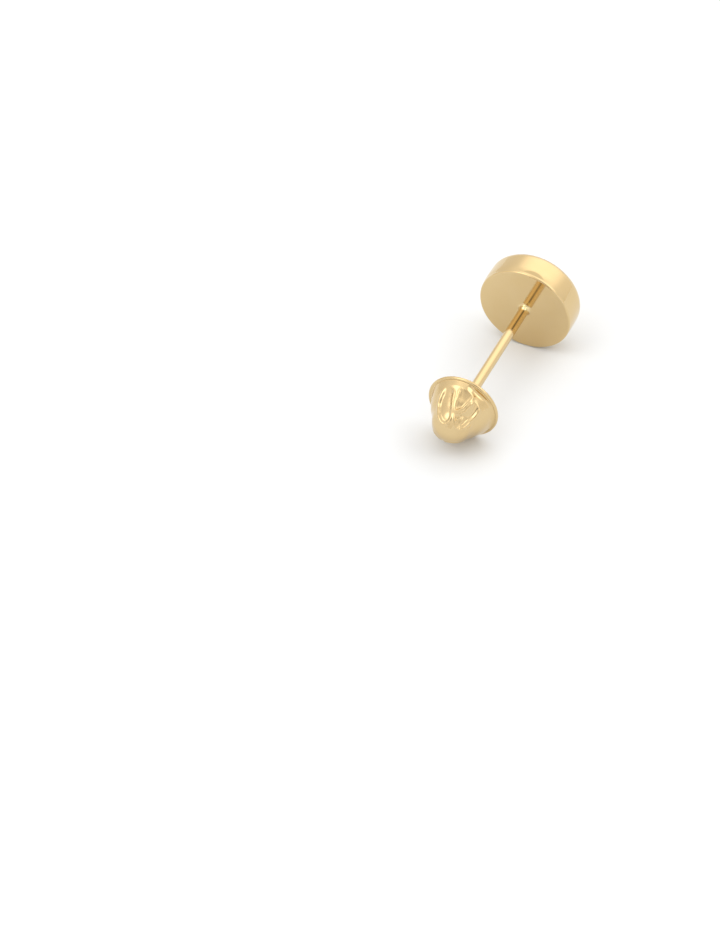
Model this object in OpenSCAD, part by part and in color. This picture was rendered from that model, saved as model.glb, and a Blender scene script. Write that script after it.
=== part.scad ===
// Screw-back button stud earring, lying on its side as it does when it is not worn.
// The post runs along X. The head is at +X and the nut at -X. Z is up.
// Each piece is drawn upright about its own axis first, and is then laid down
// until the rim of the head and the edge of the nut's flange both touch z = 0.

/* [Head] */
// Diameter of the round head, at the rim of its back disc
head_d = 7.0; // [5.6:0.1:8.4]
// Thickness of the head, from the flat back to the middle of the domed front
head_h = 2.72; // [2.6:0.02:3.2]
// Radius of the rounded rim between the flat back and the side
rim_r = 0.14; // [0.08:0.01:0.2]
// Radius that rounds the side over into the front
shoulder_r = 0.8; // [0.5:0.01:0.9]
// Height of the centre of that rounding above the flat back
shoulder_h = 1.64; // [1.5:0.01:1.65]
// How far the side leans in between the rim and the shoulder
side_lean = 0.03; // [0:0.01:0.15]
// Thickness of the sheet that the hollow head is made of
head_wall = 0.35; // [0.25:0.05:0.5]

/* [Post] */
// Diameter of the plain wire post
post_d = 0.72; // [0.68:0.02:0.9]
// Distance from the back disc to the nut
post_free = 10.3; // [9:0.01:12]
// Radius of the solder fillet where the post meets the back disc
solder_r = 0.24; // [0.1:0.01:0.3]
// Outer diameter of the threaded end of the post
thread_d = 0.69; // [0.6:0.01:0.7]
// Length of the threaded end
thread_len = 2.6; // [2:0.1:2.8]
// Bevel on the tip of the post
tip_bevel = 0.1; // [0.05:0.01:0.15]

/* [Nut] */
// Diameter of the nut's flange
flange_d = 5.24; // [4.6:0.02:5.6]
// Thickness of the flange, whose edge is fully rounded
flange_t = 0.26; // [0.2:0.02:0.4]
// Radius of the smooth skirt where it leaves the flange
skirt_r = 2.1; // [1.9:0.05:2.2]
// Radius of the arc that the skirt's side follows
skirt_arc = 1.65; // [1.5:0.05:1.8]
// Height above the flange where the skirt is widest
skirt_h = 0.35; // [0.2:0.05:0.5]
// Radius of the hollow foot between the skirt and the flange
foot_r = 0.32; // [0.1:0.01:0.33]
// Radius of the ball-shaped tip
ball_r = 1.5; // [1.4:0.05:1.6]
// Height of the ball's centre above the flange
ball_h = 1.54; // [1.4:0.02:1.7]
// Radial play between the threaded end and the nut's bore
bore_play = 0.02; // [0.01:0.01:0.04]
// Free space left beyond the post's tip, at the blind end of the bore
bore_spare = 0.3; // [0.1:0.05:0.4]

/* [Grip flutes] */
// Flutes in each of the two opposite groups
flutes = 3; // [1:1:4]
// Angle between neighbouring flutes
flute_step = 30; // [29:1:36]
// Turn of the nut on the post, from the upper side of the earring
nut_turn = 11; // [-30:1:30]
// Radius of the round cutter that makes a flute
flute_r = 0.6; // [0.5:0.05:0.65]
// Distance of the flute's floor from the axis, where its line meets the flange
flute_low = 2.3; // [2.28:0.02:2.36]
// Distance of the flute's floor from the axis, at its upper end
flute_high = 0.84; // [0.8:0.02:0.9]
// Height of the flute's upper end above the flange
flute_top = 2.75; // [2.5:0.05:2.75]
// Height above the flange where the flutes start
flute_start = 0.36; // [0.34:0.01:0.4]

/* [Hidden] */
$fn = 96;
head_r = head_d / 2;
post_r = post_d / 2;
thread_r = thread_d / 2;
bore_r = thread_r + bore_play;
flange_r = flange_d / 2;
// The foot never reaches the rounded edge of a small flange
foot = max(0.02, min(foot_r, flange_r - flange_t / 2 - 0.05 - skirt_r));

// Head profile: rim circle, shoulder circle and one large front arc tangent to the shoulder
shoulder_x = head_r - side_lean - shoulder_r;
front_rise = head_h - shoulder_h;
front_r = (pow(shoulder_x, 2) + pow(front_rise, 2) - pow(shoulder_r, 2)) / (2 * (front_rise - shoulder_r));
front_c = head_h - front_r;
// Where the front arc meets the shoulder
join_a = atan2(shoulder_h - front_c, shoulder_x);
join_x = front_r * cos(join_a);
// Direction of the outward normal of the straight side, tangent to rim and shoulder
rim_x = head_r - rim_r;
run_x = shoulder_x - rim_x;
run_y = shoulder_h - rim_r;
side_a = -asin((shoulder_r - rim_r) / norm([run_x, run_y])) - atan2(run_x, run_y);

// Resting tilt: one line touches the rounded rim and the rounded flange edge from below
gap_r = rim_x - flange_r + flange_t / 2;
gap_x = post_free + flange_t / 2 + rim_r;
tilt = acos((flange_t / 2 - rim_r) / norm([gap_r, gap_x])) - atan2(gap_x, gap_r);
rest_z = rim_x * cos(tilt) + rim_r - rim_r * sin(tilt);
// Ends of the whole earring along X, measured from the centre of the back disc
x_high = front_c * cos(tilt) + front_r;
x_low = -(post_free + flange_t + ball_h) * cos(tilt) - ball_r;
rest_x = -(x_high + x_low) / 2;

// Lays a piece that stands on +Z down along X, at its resting place
module laid() {
    translate([rest_x, 0, rest_z]) rotate([0, 90 - tilt, 0]) children();
}

module head_profile() {
    // Middle, up to the domed front
    intersection() {
        translate([0, front_c]) circle(r = front_r, $fn = 360);
        square([join_x, head_h + 1]);
    }
    // Ring between the middle and the side
    polygon([
        [join_x - 0.6, 0],
        [rim_x, 0],
        [rim_x + rim_r * cos(side_a), rim_r + rim_r * sin(side_a)],
        [shoulder_x + shoulder_r * cos(side_a), shoulder_h + shoulder_r * sin(side_a)],
        [shoulder_x, shoulder_h],
        [join_x - 0.6, shoulder_h]
    ]);
    translate([shoulder_x, shoulder_h]) circle(r = shoulder_r);
    translate([rim_x, rim_r]) circle(r = rim_r);
}

module head_hollow() {
    // Sealed space inside the head, a wall's thickness or more from every side
    inner_r = shoulder_r - head_wall;
    polygon([
        [0, head_wall],
        [shoulder_x + inner_r, head_wall],
        [shoulder_x + inner_r, shoulder_h],
        [shoulder_x + inner_r * cos(40), shoulder_h + inner_r * sin(40)],
        [shoulder_x - 0.2, shoulder_h + inner_r * 0.9],
        [1.2, head_h - head_wall - 0.06],
        [0, head_h - head_wall - 0.06]
    ]);
}

module solder() {
    // Concave fillet, standing on the back disc around the post
    rotate_extrude() difference() {
        translate([post_r - 0.05, 0]) square([solder_r + 0.05, solder_r]);
        translate([post_r + solder_r, solder_r]) circle(r = solder_r);
    }
}

module post() {
    cylinder(h = post_free + 0.15 - 0.02, r = post_r);
    translate([0, 0, post_free + 0.13 - 0.05]) cylinder(h = thread_len + 0.07 - tip_bevel, r = thread_r);
    translate([0, 0, post_free + 0.15 + thread_len - tip_bevel]) cylinder(h = tip_bevel, r1 = thread_r, r2 = thread_r - tip_bevel);
}

module stud() {
    color([0.86, 0.72, 0.45]) laid() union() {
        difference() {
            rotate_extrude() head_profile();
            rotate_extrude() head_hollow();
        }
        translate([0, 0, 0.15]) mirror([0, 0, 1]) post();
        mirror([0, 0, 1]) solder();
    }
}

// The nut stands on its flange here, with its tip at +Z and the flange's upper face at 0
module nut_profile() {
    translate([0, -flange_t]) square([flange_r - flange_t / 2, flange_t]);
    translate([flange_r - flange_t / 2, -flange_t / 2]) circle(r = flange_t / 2);
    difference() {
        translate([skirt_r - 0.1, -0.02]) square([foot + 0.1, foot]);
        translate([skirt_r + foot, foot - 0.01]) circle(r = foot);
    }
    intersection() {
        translate([skirt_r - skirt_arc, skirt_h]) circle(r = skirt_arc);
        translate([0, -flange_t / 2]) square([skirt_r + 1, ball_h + ball_r]);
    }
    intersection() {
        translate([0, ball_h]) circle(r = ball_r);
        square([ball_r + 1, ball_h + ball_r + 1]);
    }
}

module flute() {
    lean = atan2(flute_low - flute_high, flute_top);
    intersection() {
        translate([flute_low, 0, 0]) rotate([0, -lean, 0]) translate([flute_r, 0, -1]) cylinder(h = 6, r = flute_r, $fn = 64);
        translate([0, -2, flute_start]) cube([5, 4, 6]);
    }
}

module nut() {
    color([0.85, 0.70, 0.42]) laid() translate([0, 0, -post_free - flange_t]) rotate([180, 0, 0]) difference() {
        rotate_extrude() nut_profile();
        for (side = [0, 180], i = [0 : flutes - 1])
            rotate([0, 0, 180 - nut_turn + side + (i - (flutes - 1) / 2) * flute_step]) flute();
        translate([0, 0, -flange_t - 1]) cylinder(h = 1 + thread_len + bore_spare, r = bore_r);
    }
}

stud();
nut();
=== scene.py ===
from math import radians, degrees, sin, cos, tan, atan2, acos, asin, sqrt, pi, hypot

import bpy
import numpy as np
from mathutils import Matrix, Vector


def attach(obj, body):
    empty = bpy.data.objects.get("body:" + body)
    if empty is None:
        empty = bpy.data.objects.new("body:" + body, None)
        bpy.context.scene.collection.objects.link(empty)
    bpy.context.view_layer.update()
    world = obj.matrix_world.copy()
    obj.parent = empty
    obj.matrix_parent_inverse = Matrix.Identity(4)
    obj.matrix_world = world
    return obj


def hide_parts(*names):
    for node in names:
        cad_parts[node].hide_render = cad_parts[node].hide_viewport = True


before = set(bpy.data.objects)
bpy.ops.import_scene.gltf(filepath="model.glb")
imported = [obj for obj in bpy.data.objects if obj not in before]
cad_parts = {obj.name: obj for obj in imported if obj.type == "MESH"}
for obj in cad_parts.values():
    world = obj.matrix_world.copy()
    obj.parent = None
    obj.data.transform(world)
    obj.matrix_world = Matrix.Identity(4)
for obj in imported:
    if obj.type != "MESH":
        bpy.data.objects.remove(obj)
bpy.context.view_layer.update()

MM = 0.001

# ---------------------------------------------------------------- sizes, in mm, as in the CAD source
HEAD_R, HEAD_H, RIM_R = 3.5, 2.72, 0.14
SHOULDER_R, SHOULDER_H, SIDE_LEAN = 0.8, 1.64, 0.03
POST_R, POST_FREE, SOLDER_W, SOLDER_L = 0.36, 10.3, 0.24, 0.36
THREAD_R, THREAD_LEN, TIP_BEVEL, PITCH = 0.345, 2.6, 0.1, 0.25
FLANGE_R, FLANGE_T = 2.62, 0.26
SKIRT_R, SKIRT_ARC, SKIRT_H = 2.1, 1.65, 0.35
BALL_R, BALL_H = 1.5, 1.54
BORE_R, BORE_SPARE = 0.365, 0.3

SHOULDER_X = HEAD_R - SIDE_LEAN - SHOULDER_R
_rise = HEAD_H - SHOULDER_H
FRONT_R = (SHOULDER_X ** 2 + _rise ** 2 - SHOULDER_R ** 2) / (2 * (_rise - SHOULDER_R))
FRONT_C = HEAD_H - FRONT_R
JOIN_A = atan2(SHOULDER_H - FRONT_C, SHOULDER_X)
RIM_X = HEAD_R - RIM_R
_gr, _gx = RIM_X - FLANGE_R + FLANGE_T / 2, POST_FREE + FLANGE_T / 2 + RIM_R
TILT = acos((FLANGE_T / 2 - RIM_R) / hypot(_gr, _gx)) - atan2(_gx, _gr)
REST_Z = RIM_X * cos(TILT) + RIM_R - RIM_R * sin(TILT)
REST_X = -((FRONT_C * cos(TILT) + FRONT_R) - (POST_FREE + FLANGE_T + BALL_H) * cos(TILT) - BALL_R) / 2
# The earring's own axes in the row frame: along the post towards the head's front, up, and sideways
ALONG = np.array([cos(TILT), 0.0, sin(TILT)])
UP = np.array([-sin(TILT), 0.0, cos(TILT)])
SIDE = np.array([0.0, -1.0, 0.0])
BACK = np.array([REST_X, 0.0, REST_Z])     # centre of the back disc


def place(s, r, a):
    """A point at s along the post, r from its axis, turned a from the upper side, in metres."""
    s, r, a = np.broadcast_arrays(s, r, a)
    p = BACK + s[..., None] * ALONG + r[..., None] * (np.cos(a)[..., None] * UP + np.sin(a)[..., None] * SIDE)
    return p * MM


def closed_lathe(name, rings, first, last):
    """A closed mesh from rings of points (rings, segments, 3), with a point that closes each end."""
    n, m = rings.shape[:2]
    verts = np.vstack([rings.reshape(-1, 3), first[None], last[None]])
    i, j = np.meshgrid(np.arange(n - 1), np.arange(m), indexing="ij")
    k = (j + 1) % m
    quads = np.stack([i * m + j, i * m + k, (i + 1) * m + k, (i + 1) * m + j], -1).reshape(-1, 4)
    j = np.arange(m)
    k = (j + 1) % m
    fan0 = np.stack([np.full(m, n * m), k, j], -1)
    fan1 = np.stack([np.full(m, n * m + 1), (n - 1) * m + j, (n - 1) * m + k], -1)
    faces = quads.tolist() + fan0.tolist() + fan1.tolist()
    me = bpy.data.meshes.new(name)
    me.from_pydata(verts.tolist(), [], faces)
    me.update()
    ob = bpy.data.objects.new(name, me)
    bpy.context.scene.collection.objects.link(ob)
    import bmesh
    bm = bmesh.new()
    bm.from_mesh(me)
    bmesh.ops.recalc_face_normals(bm, faces=bm.faces)
    bm.to_mesh(me)
    bm.free()
    for p in me.polygons:
        p.use_smooth = True
    return ob


def arc(cx, cy, r, a0, a1, n):
    """Points of an arc, angles in degrees from the radial direction."""
    t = np.radians(np.linspace(a0, a1, n))
    return np.stack([cx + r * np.cos(t), cy + r * np.sin(t)], 1)


def line(p, q, n, ease=False):
    t = np.linspace(0, 1, n)
    if ease:
        t = 0.5 - 0.5 * np.cos(np.pi * t)
    return np.array(p) + t[:, None] * (np.array(q) - np.array(p))


def soft(t):
    t = np.clip(t, 0, 1)
    return t * t * (3 - 2 * t)


SIDE_TURN = 2.28     # degrees that the side leans in by where it meets the shoulder
LIP_R, LIP_LAND, WAIST = 0.12, 0.19, 0.70     # edge rounding, end of the straight land, end of the hollowed strip, mm from the back


# ---------------------------------------------------------------- the stud: head, solder and post, one metal piece
def side_curve(strip):
    """Radius and height of the band round the head, from the shoulder down to the rim, where a strip leans in by so many degrees."""
    s1 = SHOULDER_H + SHOULDER_R * sin(radians(SIDE_TURN))
    h = np.concatenate([np.linspace(s1, WAIST + 0.02, 22), np.linspace(WAIST, LIP_LAND + 0.02, 14),
                        np.linspace(LIP_LAND, LIP_R, 5)])
    # slope of the side, in degrees: it leans in towards the shoulder, and towards the rim over the strip polished next to it
    lean = np.interp(h, [LIP_R, LIP_LAND - 0.01, LIP_LAND + 0.03, WAIST, s1], [-1.0, -2.0, -strip, 0.0, SIDE_TURN])
    slope = -np.tan(np.radians(lean))
    r = np.concatenate([[0.0], np.cumsum((slope[1:] + slope[:-1]) / 2 * np.diff(h))])
    r += SHOULDER_X + SHOULDER_R * cos(radians(SIDE_TURN))
    return np.stack([r, h], 1)


def stud_profile(strip):
    """(radius, height along the post) from the middle of the front to the start of the thread."""
    front = arc(0, FRONT_C, FRONT_R, 90, degrees(JOIN_A), 30)[1:]
    shoulder = arc(SHOULDER_X, SHOULDER_H, SHOULDER_R, degrees(JOIN_A), SIDE_TURN, 26)[1:]
    side = side_curve(strip)[1:]
    edge = side[-1, 0] - LIP_R
    rim = arc(edge, LIP_R, LIP_R, 0, -90, 14)[1:]
    disc = line([edge, 0], [POST_R + 1.4 * SOLDER_W, 0], 26, ease=True)[1:]
    t = np.linspace(0, pi / 2, 18)[1:]
    fillet = np.stack([POST_R + SOLDER_W * (1 - np.sin(t)), -SOLDER_L * (1 - np.cos(t))], 1)
    post = line([POST_R, -1.4 * SOLDER_L], [POST_R, -POST_FREE + 0.02], 24)
    return np.vstack([front, shoulder, side, rim, disc, fillet, post])


SEG = 192
ang = np.linspace(0, 2 * pi, SEG, endpoint=False)
prof, flatter = stud_profile(11.5), stud_profile(4.0)
# the polished strip is worn in over the top, and fades out down the sides
at = (np.degrees(ang) + 180) % 360 - 180
fading = np.where(at > -40, soft((at - 25) / 14), 1 - soft((at + 120) / 40))
prof_r = prof[:, 0][:, None] * (1 - fading) + flatter[:, 0][:, None] * fading
prof_h = prof[:, 1][:, None] * (1 - fading) + flatter[:, 1][:, None] * fading
# the solder flowed unevenly round the post
lump = 1 + 0.08 * np.sin(2 * ang + 0.6)
wet = (prof[:, 1] < -1e-6) & (prof[:, 1] > -SOLDER_L - 1e-6)
prof_h[wet] *= lump
prof_r[wet] = POST_R + (prof_r[wet] - POST_R) * lump
bead = np.exp(-((ang - 0.15) / 0.5) ** 2) + np.exp(-((ang - 0.15 - 2 * pi) / 0.5) ** 2)
prof_r[wet] += 0.05 * bead * np.sin(pi * prof[wet, 1] / -SOLDER_L)[:, None] ** 2
smooth = place(prof_h, prof_r, ang[None, :])
# Threaded end: a helical thread that fades in after the smooth wire and fades out at the bevelled tip
n_thread = 150
h = np.linspace(0.0, THREAD_LEN + 0.02, n_thread)
tri = np.abs(((h[:, None] / PITCH + ang[None, :] / (2 * pi)) % 1.0) * 2 - 1)
cut = 0.075 * np.clip((tri - 0.18) / 0.72, 0, 1)
fade = np.clip(h / 0.22, 0, 1) * np.clip((THREAD_LEN + 0.02 - h) / 0.12, 0, 1)
thread_r = THREAD_R - cut * fade[:, None]
thread_r[-9:] = np.minimum(thread_r[-9:], (THREAD_R - np.linspace(0, TIP_BEVEL, 9))[:, None])
thread = place(-(POST_FREE - 0.02 + h)[:, None], thread_r, ang[None, :])
tip = line([THREAD_R - TIP_BEVEL, 0], [0.02, 0], 5)[1:]
end_s = -(POST_FREE + THREAD_LEN)
tip_rings = place(np.full((4, 1), end_s), tip[:, 0][:, None], ang[None, :])
stud = closed_lathe("stud_gold_piece", np.concatenate([smooth, thread, tip_rings]),
                    place(np.array(HEAD_H), np.array(0.0), np.array(0.0)), place(np.array(end_s), np.array(0.0), np.array(0.0)))

# ---------------------------------------------------------------- the nut: flange, fluted skirt, ball tip and threaded bore
NSEG = 396


def smax(a, b, k):
    h = np.clip(0.5 + 0.5 * (a - b) / k, 0, 1)
    return b + (a - b) * h + k * h * (1 - h)


def smin(a, b, k):
    return -smax(-a, -b, k)


def nut_base(r, z):
    """How far a point is outside the uncut skirt and ball, joined with a small fillet."""
    skirt = np.hypot(r - (SKIRT_R - SKIRT_ARC), z - SKIRT_H) - SKIRT_ARC
    ball = np.hypot(r, z - BALL_H) - BALL_R
    return smin(skirt, ball, 0.28)


# Grip flutes pressed into the cap. Each has a depth, the width of its side walls, the heights over which it
# fades in from the flange, and an outline of (degrees from the nut's mark, height above the flange in mm).
FLUTES = [
    dict(depth=0.12, wall=0.22, fade=(0.30, 1.00), lip=0.052, lip_w=0.135, outline=[
        (-28, 0.42), (-33, 0.85), (-38, 1.20), (-43, 1.50), (-44, 1.75), (-41, 2.10), (-36, 2.45), (-27, 2.70),
        (-12, 2.79), (3, 2.74), (11, 2.58), (11, 2.35), (6, 2.00), (1, 1.65), (-3, 1.30), (-5, 0.90), (-9, 0.50), (-18, 0.36)]),
    dict(depth=0.085, wall=0.14, fade=(0.10, 1.20), outline=[
        (3, 0.28), (24, 0.20), (31, 0.50), (30, 1.00), (27, 1.52), (19, 1.75), (9, 1.92), (6, 1.60), (4, 1.00), (3, 0.60)]),
    dict(depth=0.13, wall=0.24, fade=(0.42, 1.20), lip=0.072, lip_w=0.170, lean=33, outline=[
        (36, 0.60), (35, 1.10), (33, 1.64), (26, 1.87), (14, 2.05), (15, 2.20), (21, 2.40), (31, 2.57), (47, 2.66),
        (62, 2.60), (66, 2.25), (66, 1.85), (64, 1.45), (60, 1.10), (55, 0.80), (46, 0.60)]),
    dict(depth=0.035, wall=0.11, fade=(1.2, 1.6), outline=[
        (64, 1.45), (72, 1.68), (79, 1.95), (72, 2.28), (64, 2.50), (62, 2.0)]),
]
# Low ribs left standing on the floors: two ends, height and half-width in mm
RIBS = [((28, 1.74), (32, 2.12), 0.05, 0.08), ((42, 1.90), (47, 2.36), 0.03, 0.09)]
LIP, LIP_W = 0.045, 0.125     # height and half-width of the burr raised round a flute, where it has none of its own


def to_segment(u, v, a, b):
    """Distance from (u, v) to the segment a-b; the ends may differ from point to point."""
    du, dv = b[0] - a[0], b[1] - a[1]
    t = np.clip(((u - a[0]) * du + (v - a[1]) * dv) / (du * du + dv * dv + 1e-12), 0, 1)
    return np.hypot(u - a[0] - t * du, v - a[1] - t * dv)


def within(az, s, r, outline, s_of_z):
    """Distance inside an outline in mm, measured on the surface; negative outside it."""
    u = np.radians(az) * r
    near = np.full(az.shape, 9.0)
    inside = np.zeros(az.shape, bool)
    for (a0, z0), (a1, z1) in zip(outline, outline[1:] + outline[:1]):
        p, q = (np.radians(a0) * r, s_of_z(z0)), (np.radians(a1) * r, s_of_z(z1))
        near = np.minimum(near, to_segment(u, s, p, q))
        crosses = (p[1] > s) != (q[1] > s)
        if p[1] != q[1]:
            inside ^= crosses & (u < p[0] + (s - p[1]) / (q[1] - p[1]) * (q[0] - p[0]))
    return np.where(inside, near, -near)


def nut_surface():
    # Outer profile, uncut: from the ball's top down to the ledge
    a = np.radians(np.linspace(89.3, -20.0, 300))
    base = []
    for t in a:                                       # walk rays from a point on the axis and find the uncut surface
        lo, hi = 0.2, 4.0
        for _ in range(40):
            m = (lo + hi) / 2
            if nut_base(m * cos(t), 0.75 + m * sin(t)) > 0:
                hi = m
            else:
                lo = m
        base.append((lo * cos(t), 0.75 + lo * sin(t)))
    base = np.array(base)
    base = base[base[:, 1] > SKIRT_H + 0.005]
    seg = np.hypot(*np.diff(base, axis=0).T)
    s = np.concatenate([[0], np.cumsum(seg)])
    k = 152
    u = np.linspace(0, s[-1], k)
    base = np.stack([np.interp(u, s, base[:, 0]), np.interp(u, s, base[:, 1])], 1)
    tan_ = np.gradient(base, axis=0)
    nrm = np.stack([-tan_[:, 1], tan_[:, 0]], 1)
    nrm /= np.linalg.norm(nrm, axis=1)[:, None]
    if nrm[0, 1] < 0:
        nrm = -nrm
    # the segments stand closer together over the two groups of flutes
    t = np.linspace(0, 2 * pi, NSEG, endpoint=False)
    ph = t - 0.20 * np.sin(2 * (t - radians(13)))
    R0, Z0, S0 = base[:, 0][:, None], base[:, 1][:, None], u[:, None]

    def s_of_z(z):
        return float(np.interp(z, base[::-1, 1], u[::-1]))
    depth = np.zeros((k, NSEG))
    for group in (0, 180):
        az = (np.degrees(ph)[None, :] - group - 13 + 180) % 360 - 180 + 13 + 0 * R0
        cut, lip = np.zeros((k, NSEG)), np.zeros((k, NSEG))
        for f in FLUTES:
            d = within(az, S0 + 0 * az, R0 + 0 * az, f["outline"], s_of_z)
            z0, z1 = f["fade"]
            on = soft((Z0 - z0) / (z1 - z0))
            edge_on = soft((Z0 - z0 - 0.2) / 0.4)
            if "lean" in f:                           # this floor sinks slowly from its left side
                on = on * soft((az - np.interp(Z0, [1.6, 2.1], [f["lean"], f["lean"] - 28])) / 24)
            cut = smax(cut, f["depth"] * soft(d / f["wall"]) * on, 0.004)
            lip = np.maximum(lip, f.get("lip", LIP) * np.exp(-(d / f.get("lip_w", LIP_W)) ** 2) * edge_on)
        for p, q, high, wide in RIBS:
            d = to_segment(np.radians(az) * R0, S0, (np.radians(p[0]) * R0, s_of_z(p[1])), (np.radians(q[0]) * R0, s_of_z(q[1])))
            cut -= high * np.exp(-(d / wide) ** 2) * soft(cut / 0.05)
        depth += cut - lip
    for _ in range(3):                                # take the roughness of the grid off the walls
        depth = (np.roll(depth, 1, 1) + 2 * depth + np.roll(depth, -1, 1)) / 4
        depth[1:-1] = (depth[:-2] + 2 * depth[1:-1] + depth[2:]) / 4
    return R0 - nrm[:, 0][:, None] * depth + bulge(ph)[None, :] * np.clip((1.05 - Z0) / 0.7, 0, 1) ** 1.6, Z0 - nrm[:, 1][:, None] * depth, ph


def bulge(ph):
    """How far the skirt's foot is pushed out, by angle."""
    out = np.zeros(ph.shape)
    for group in (0, 180):
        az = (np.degrees(ph) - group + 180) % 360 - 180
        out += 0.22 * soft((az + 80) / 35) * soft((38 - az) / 32) + 0.10 * soft((az - 34) / 50) * soft((130 - az) / 30)
    return out


NR_, NZ_, ph = nut_surface()
r_low, z_low = NR_[-1], NZ_[-1]
# concave foot of the skirt, the crease behind the flange's rounded edge, ear side and bore
rows_r, rows_z = [NR_], [NZ_]
end_r, end_z = 2.43, 0.03
slope = (NR_[-1] - NR_[-2]) / (NZ_[-2] - NZ_[-1])              # the skirt's own lean where the foot starts
mid_r = np.clip(r_low + slope * (z_low - end_z), r_low, end_r)
turned = np.degrees(ph) % 180
ledge = 0.45 * soft((turned - 8) / 22) * soft((72 - turned) / 26)    # how much of a flat ledge is left beside the skirt, by angle
for k, t in enumerate(np.linspace(0.0, 1.0, 19)[1:]):
    flare_r = (1 - t) ** 2 * r_low + 2 * t * (1 - t) * mid_r + t * t * end_r
    flare_z = (1 - t) ** 2 * z_low + 2 * t * (1 - t) * end_z + t * t * end_z
    if k < 6:
        step_r, step_z = r_low + 0 * z_low, z_low + (0.18 - z_low) * (k + 1) / 6
    elif k < 12:
        turn_a = radians(15 * (k - 5))
        step_r, step_z = r_low + 0.13 * (1 - cos(turn_a)), end_z + 0.15 * (1 - sin(turn_a)) + 0 * z_low
    else:
        step_r, step_z = r_low + 0.13 + (end_r - r_low - 0.13) * (k - 11) / 6, end_z + 0 * z_low
    rows_r.append((flare_r + (step_r - flare_r) * ledge)[None])
    rows_z.append((flare_z + (step_z - flare_z) * ledge)[None])
edge_r = FLANGE_R - FLANGE_T / 2
rest = np.vstack([
    arc(edge_r, -FLANGE_T / 2, FLANGE_T / 2, 112, -90, 22),
    line([edge_r, -FLANGE_T], [BORE_R + 0.06, -FLANGE_T], 9, ease=True)[1:],
    arc(BORE_R + 0.06, -FLANGE_T + 0.06, 0.06, -90, -180, 6)[1:],
])
rows_r.append(np.repeat(rest[:, 0][:, None], NSEG, 1))
rows_z.append(np.repeat(rest[:, 1][:, None], NSEG, 1))
bore_h = np.linspace(0.02, THREAD_LEN + BORE_SPARE - 0.06, 40)
tri = np.abs(((bore_h[:, None] / PITCH + ph[None, :] / (2 * pi)) % 1.0) * 2 - 1)
bore_fade = np.clip(bore_h / 0.15, 0, 1) * np.clip((2.6 - bore_h) / 0.1, 0, 1)
rows_r.append(BORE_R + 0.05 * np.clip((tri - 0.2) / 0.7, 0, 1) * bore_fade[:, None])
rows_z.append(np.repeat((-FLANGE_T + 0.06 + bore_h)[:, None], NSEG, 1))
bottom_z = -FLANGE_T + THREAD_LEN + BORE_SPARE
rows_r.append(np.repeat(np.array([[BORE_R - 0.02], [0.15]]), NSEG, 1))
rows_z.append(np.full((2, NSEG), bottom_z))
nr, nz = np.vstack(rows_r), np.vstack(rows_z)
s_nut = -(POST_FREE + FLANGE_T)
nut_rings = place(s_nut - nz, nr, ph[None, :] + 0 * nr)
top_z = BALL_H + BALL_R
nut = closed_lathe("nut_gold_piece", nut_rings, place(np.array(s_nut - top_z), np.array(0.0), np.array(0.0)),
                   place(np.array(s_nut - bottom_z), np.array(0.0), np.array(0.0)))


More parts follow.
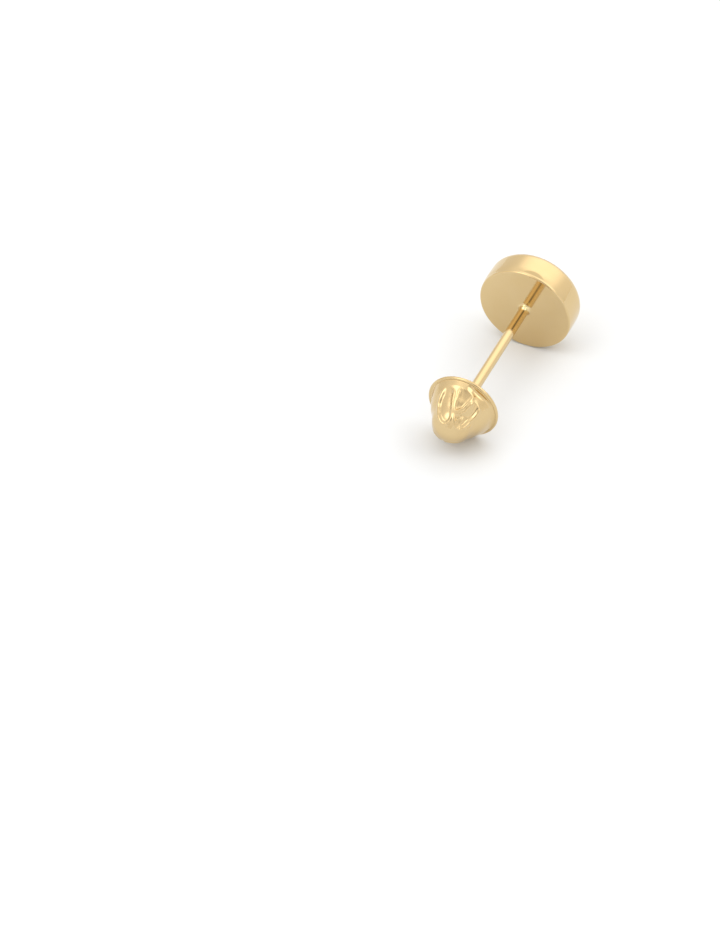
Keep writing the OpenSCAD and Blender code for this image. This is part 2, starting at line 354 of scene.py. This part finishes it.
# ---------------------------------------------------------------- polished yellow gold
def gold(name, tone, wear, polish=0.05, solder_and_highlight_at=None):
    m = bpy.data.materials.new(name)
    m.use_nodes = True
    nt = m.node_tree
    nt.nodes.clear()
    N = nt.nodes.new
    L = nt.links.new
    out = N("ShaderNodeOutputMaterial")
    b = N("ShaderNodeBsdfPrincipled")
    b.inputs["Metallic"].default_value = 1.0
    L(b.outputs["BSDF"], out.inputs["Surface"])
    co = N("ShaderNodeTexCoord")
    # colour: barely uneven alloy
    n1 = N("ShaderNodeTexNoise")
    n1.inputs["Scale"].default_value = 700.0
    n1.inputs["Detail"].default_value = 4.0
    L(co.outputs["Object"], n1.inputs["Vector"])
    ramp = N("ShaderNodeValToRGB")
    ramp.color_ramp.elements[0].position = 0.3
    ramp.color_ramp.elements[1].position = 0.7
    ramp.color_ramp.elements[0].color = (tone[0] * 0.985, tone[1] * 0.975, tone[2] * 0.95, 1)
    ramp.color_ramp.elements[1].color = (min(1, tone[0] * 1.01), tone[1] * 1.015, tone[2] * 1.03, 1)
    L(n1.outputs["Fac"], ramp.inputs["Fac"])
    colour = ramp.outputs["Color"]
    if solder_and_highlight_at is not None:
        # paler solder metal and a painted highlight, on the upper side of the post's root where it meets the disc; the
        # solder there is also less polished
        near = N("ShaderNodeVectorMath")
        near.operation = "DISTANCE"
        near.inputs[1].default_value = solder_and_highlight_at
        L(co.outputs["Object"], near.inputs[0])
        solder_and_highlight_mask = N("ShaderNodeMapRange")
        solder_and_highlight_mask.interpolation_type = "SMOOTHSTEP"
        solder_and_highlight_mask.inputs["From Min"].default_value = 0.00036
        solder_and_highlight_mask.inputs["From Max"].default_value = 0.00008
        L(near.outputs["Value"], solder_and_highlight_mask.inputs["Value"])
        # painted highlight: a pale yellow mixed into the gold near that point, partly the solder's own paler colour
        pale_solder_and_highlight = N("ShaderNodeMix")
        pale_solder_and_highlight.data_type = "RGBA"
        pale_solder_and_highlight.inputs[7].default_value = (0.83, 0.71, 0.41, 1)
        L(solder_and_highlight_mask.outputs["Result"], pale_solder_and_highlight.inputs[0])
        L(colour, pale_solder_and_highlight.inputs[6])
        colour = pale_solder_and_highlight.outputs[2]
    L(colour, b.inputs["Base Color"])
    # polish: soft cloudy haze plus fine hairlines
    n2 = N("ShaderNodeTexNoise")
    n2.inputs["Scale"].default_value = 1500.0
    n2.inputs["Detail"].default_value = 5.0
    L(co.outputs["Object"], n2.inputs["Vector"])
    mp = N("ShaderNodeMapping")
    mp.inputs["Scale"].default_value = (1.0, 18.0, 18.0)
    mp.inputs["Rotation"].default_value = (0.3, 0.5, 0.9)
    L(co.outputs["Object"], mp.inputs["Vector"])
    n3 = N("ShaderNodeTexNoise")
    n3.inputs["Scale"].default_value = 900.0
    n3.inputs["Detail"].default_value = 6.0
    n3.inputs["Roughness"].default_value = 0.7
    L(mp.outputs["Vector"], n3.inputs["Vector"])
    mix = N("ShaderNodeMix")
    mix.data_type = "FLOAT"
    mix.inputs[0].default_value = 0.5
    L(n2.outputs["Fac"], mix.inputs[2])
    L(n3.outputs["Fac"], mix.inputs[3])
    mr = N("ShaderNodeMapRange")
    mr.inputs["From Min"].default_value = 0.3
    mr.inputs["From Max"].default_value = 0.7
    mr.inputs["To Min"].default_value = polish
    mr.inputs["To Max"].default_value = polish + wear
    L(mix.outputs[0], mr.inputs["Value"])
    rough = mr.outputs["Result"]
    if solder_and_highlight_at is not None:
        matt = N("ShaderNodeMath")
        matt.operation = "MULTIPLY_ADD"
        matt.inputs[1].default_value = 0.14
        L(solder_and_highlight_mask.outputs["Result"], matt.inputs[0])
        L(rough, matt.inputs[2])
        rough = matt.outputs[0]
    L(rough, b.inputs["Roughness"])
    # relief: slow waviness of hand polishing, and the hairlines
    bump = N("ShaderNodeBump")
    bump.inputs["Strength"].default_value = 0.25
    bump.inputs["Distance"].default_value = 0.000002
    L(n3.outputs["Fac"], bump.inputs["Height"])
    L(bump.outputs["Normal"], b.inputs["Normal"])
    return m


GOLD = (0.70, 0.528, 0.280)
# the stud's colour carries paler solder and a painted highlight at the upper side of the post's root
stud.data.materials.append(gold("stud_gold", GOLD, 0.07, solder_and_highlight_at=tuple(place(np.array(-0.20), np.array(0.38), np.array(0.40)).tolist())))
nut.data.materials.append(gold("nut_gold", (0.69, 0.520, 0.276), 0.05, 0.14))
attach(stud, "stud")
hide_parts("stud")
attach(nut, "nut")
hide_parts("nut")

# ---------------------------------------------------------------- floor
me = bpy.data.meshes.new("floor")
S = 1.5
me.from_pydata([(-S, -S, 0), (S, -S, 0), (S, S, 0), (-S, S, 0)], [], [(0, 1, 2, 3)])
floor = bpy.data.objects.new("floor", me)
bpy.context.scene.collection.objects.link(floor)
fm = bpy.data.materials.new("paper")
fm.use_nodes = True
ft = fm.node_tree
fb = ft.nodes["Principled BSDF"]
fb.inputs["Roughness"].default_value = 0.9
fb.inputs["Specular IOR Level"].default_value = 0.0
fc = ft.nodes.new("ShaderNodeTexCoord")
fn = ft.nodes.new("ShaderNodeTexNoise")
fn.inputs["Scale"].default_value = 900.0
fn.inputs["Detail"].default_value = 4.0
ft.links.new(fc.outputs["Object"], fn.inputs["Vector"])
fr = ft.nodes.new("ShaderNodeValToRGB")
fr.color_ramp.elements[0].color = (0.800, 0.826, 0.858, 1)
fr.color_ramp.elements[1].color = (0.810, 0.836, 0.868, 1)
ft.links.new(fn.outputs["Fac"], fr.inputs["Fac"])
ft.links.new(fr.outputs["Color"], fb.inputs["Base Color"])
fbu = ft.nodes.new("ShaderNodeBump")
fbu.inputs["Strength"].default_value = 0.1
fbu.inputs["Distance"].default_value = 0.00001
ft.links.new(fn.outputs["Fac"], fbu.inputs["Height"])
ft.links.new(fbu.outputs["Normal"], fb.inputs["Normal"])
me.materials.append(fm)

# ---------------------------------------------------------------- camera: the photograph's own view
F_PX, ELEV, DIST = 7095.0, radians(40.51), 490.0
PSI = radians(-24.90)
PX, PY = 11.527, 12.747        # the head's back disc in the photograph's floor frame, mm
turn = radians(90) + PSI                  # from the photograph's floor frame to the part's


def to_part(x, y, z):
    dx, dy = x - PX, y - PY
    return Vector(((cos(turn) * dx + sin(turn) * dy + REST_X) * MM, (-sin(turn) * dx + cos(turn) * dy) * MM, z * MM))


cam_data = bpy.data.cameras.new("camera")
cam = bpy.data.objects.new("camera", cam_data)
bpy.context.scene.collection.objects.link(cam)
cam_data.sensor_width = 36.0
cam_data.lens = F_PX / 931.0 * 36.0
eye = to_part(0, -DIST * cos(ELEV), DIST * sin(ELEV))
aim = to_part(0, 0, 0)
cam.location = eye
cam.rotation_mode = "QUATERNION"
cam.rotation_quaternion = (aim - eye).to_track_quat("-Z", "Y")
cam_data.clip_start, cam_data.clip_end = 0.02, 10.0
bpy.context.scene.camera = cam

# ---------------------------------------------------------------- soft studio light
# Directions in the part's frame: away from the camera (back), to its right, and up
fwd = Vector((aim.x - eye.x, aim.y - eye.y, 0)).normalized()
right = Vector((fwd.y, -fwd.x, 0))


def direction(back, side, up):
    return (fwd * back + right * side + Vector((0, 0, 1)) * up).normalized()


world = bpy.data.worlds.new("studio")
bpy.context.scene.world = world
world.use_nodes = True
wt = world.node_tree
wt.nodes.clear()
wo = wt.nodes.new("ShaderNodeOutputWorld")
bg = wt.nodes.new("ShaderNodeBackground")
wt.links.new(bg.outputs[0], wo.inputs[0])
tc = wt.nodes.new("ShaderNodeTexCoord")


def lobe(vec, lo_deg, hi_deg, smooth=True):
    """1 within hi_deg of a direction, 0 past lo_deg."""
    d = wt.nodes.new("ShaderNodeVectorMath")
    d.operation = "DOT_PRODUCT"
    wt.links.new(tc.outputs["Generated"], d.inputs[0])
    d.inputs[1].default_value = vec
    r = wt.nodes.new("ShaderNodeMapRange")
    r.interpolation_type = "SMOOTHSTEP" if smooth else "LINEAR"
    r.inputs["From Min"].default_value = cos(radians(lo_deg))
    r.inputs["From Max"].default_value = cos(radians(hi_deg))
    wt.links.new(d.outputs["Value"], r.inputs["Value"])
    return r.outputs["Result"]


def mixin(a, b, fac):
    m = wt.nodes.new("ShaderNodeMix")
    m.data_type = "FLOAT"
    wt.links.new(fac, m.inputs[0])
    for sock, v in ((m.inputs[2], a), (m.inputs[3], b)):
        if isinstance(v, (int, float)):
            sock.default_value = v
        else:
            wt.links.new(v, sock)
    return m.outputs[0]


def toward(az, el):
    """A direction by its bearing from the far side, to the right, and its height, in degrees."""
    return direction(cos(radians(az)) * cos(radians(el)), sin(radians(az)) * cos(radians(el)), sin(radians(el)))


level = mixin(0.86, 1.06, lobe(toward(-125, 40), 70, 30))           # open side at the left front
level = mixin(level, 1.16, lobe(toward(15, 30), 85, 40))            # pale wall behind
level = mixin(level, 0.96, lobe(toward(-36, 4), 44, 6))            # its darker left end
level = mixin(level, 1.76, lobe(toward(32, 44), 42, 12))            # softbox behind, to the right
level = mixin(level, 1.06, lobe(toward(0, 90), 30, 26))             # its upper edge, and the ceiling
level = mixin(level, 2.40, lobe(toward(106, 46), 21, 8))            # small lamp at the right
level = mixin(level, 1.32, lobe(toward(-128, 60), 40, 24))          # open side above, at the left front
level = mixin(level, 2.50, lobe(toward(-112, 58), 23, 9))           # small lamp at the left
level = mixin(level, 1.18, lobe(toward(152, 8), 38, 12))              # light table's pale edge, low in front
level = mixin(level, 1.06, lobe(toward(104, 3), 26, 8))               # and farther right
level = mixin(level, 0.80, lobe(toward(180, degrees(ELEV)), 26, 12))   # duller place of the photographer
level = mixin(level, 0.20, lobe(toward(180, degrees(ELEV)), 10, 5))    # the dark lens
wt.links.new(level, bg.inputs["Strength"])
bg.inputs["Color"].default_value = (1.0, 0.975, 0.94, 1)

bpy.context.scene.view_settings.view_transform = "Standard"
bpy.context.scene.view_settings.look = "None"
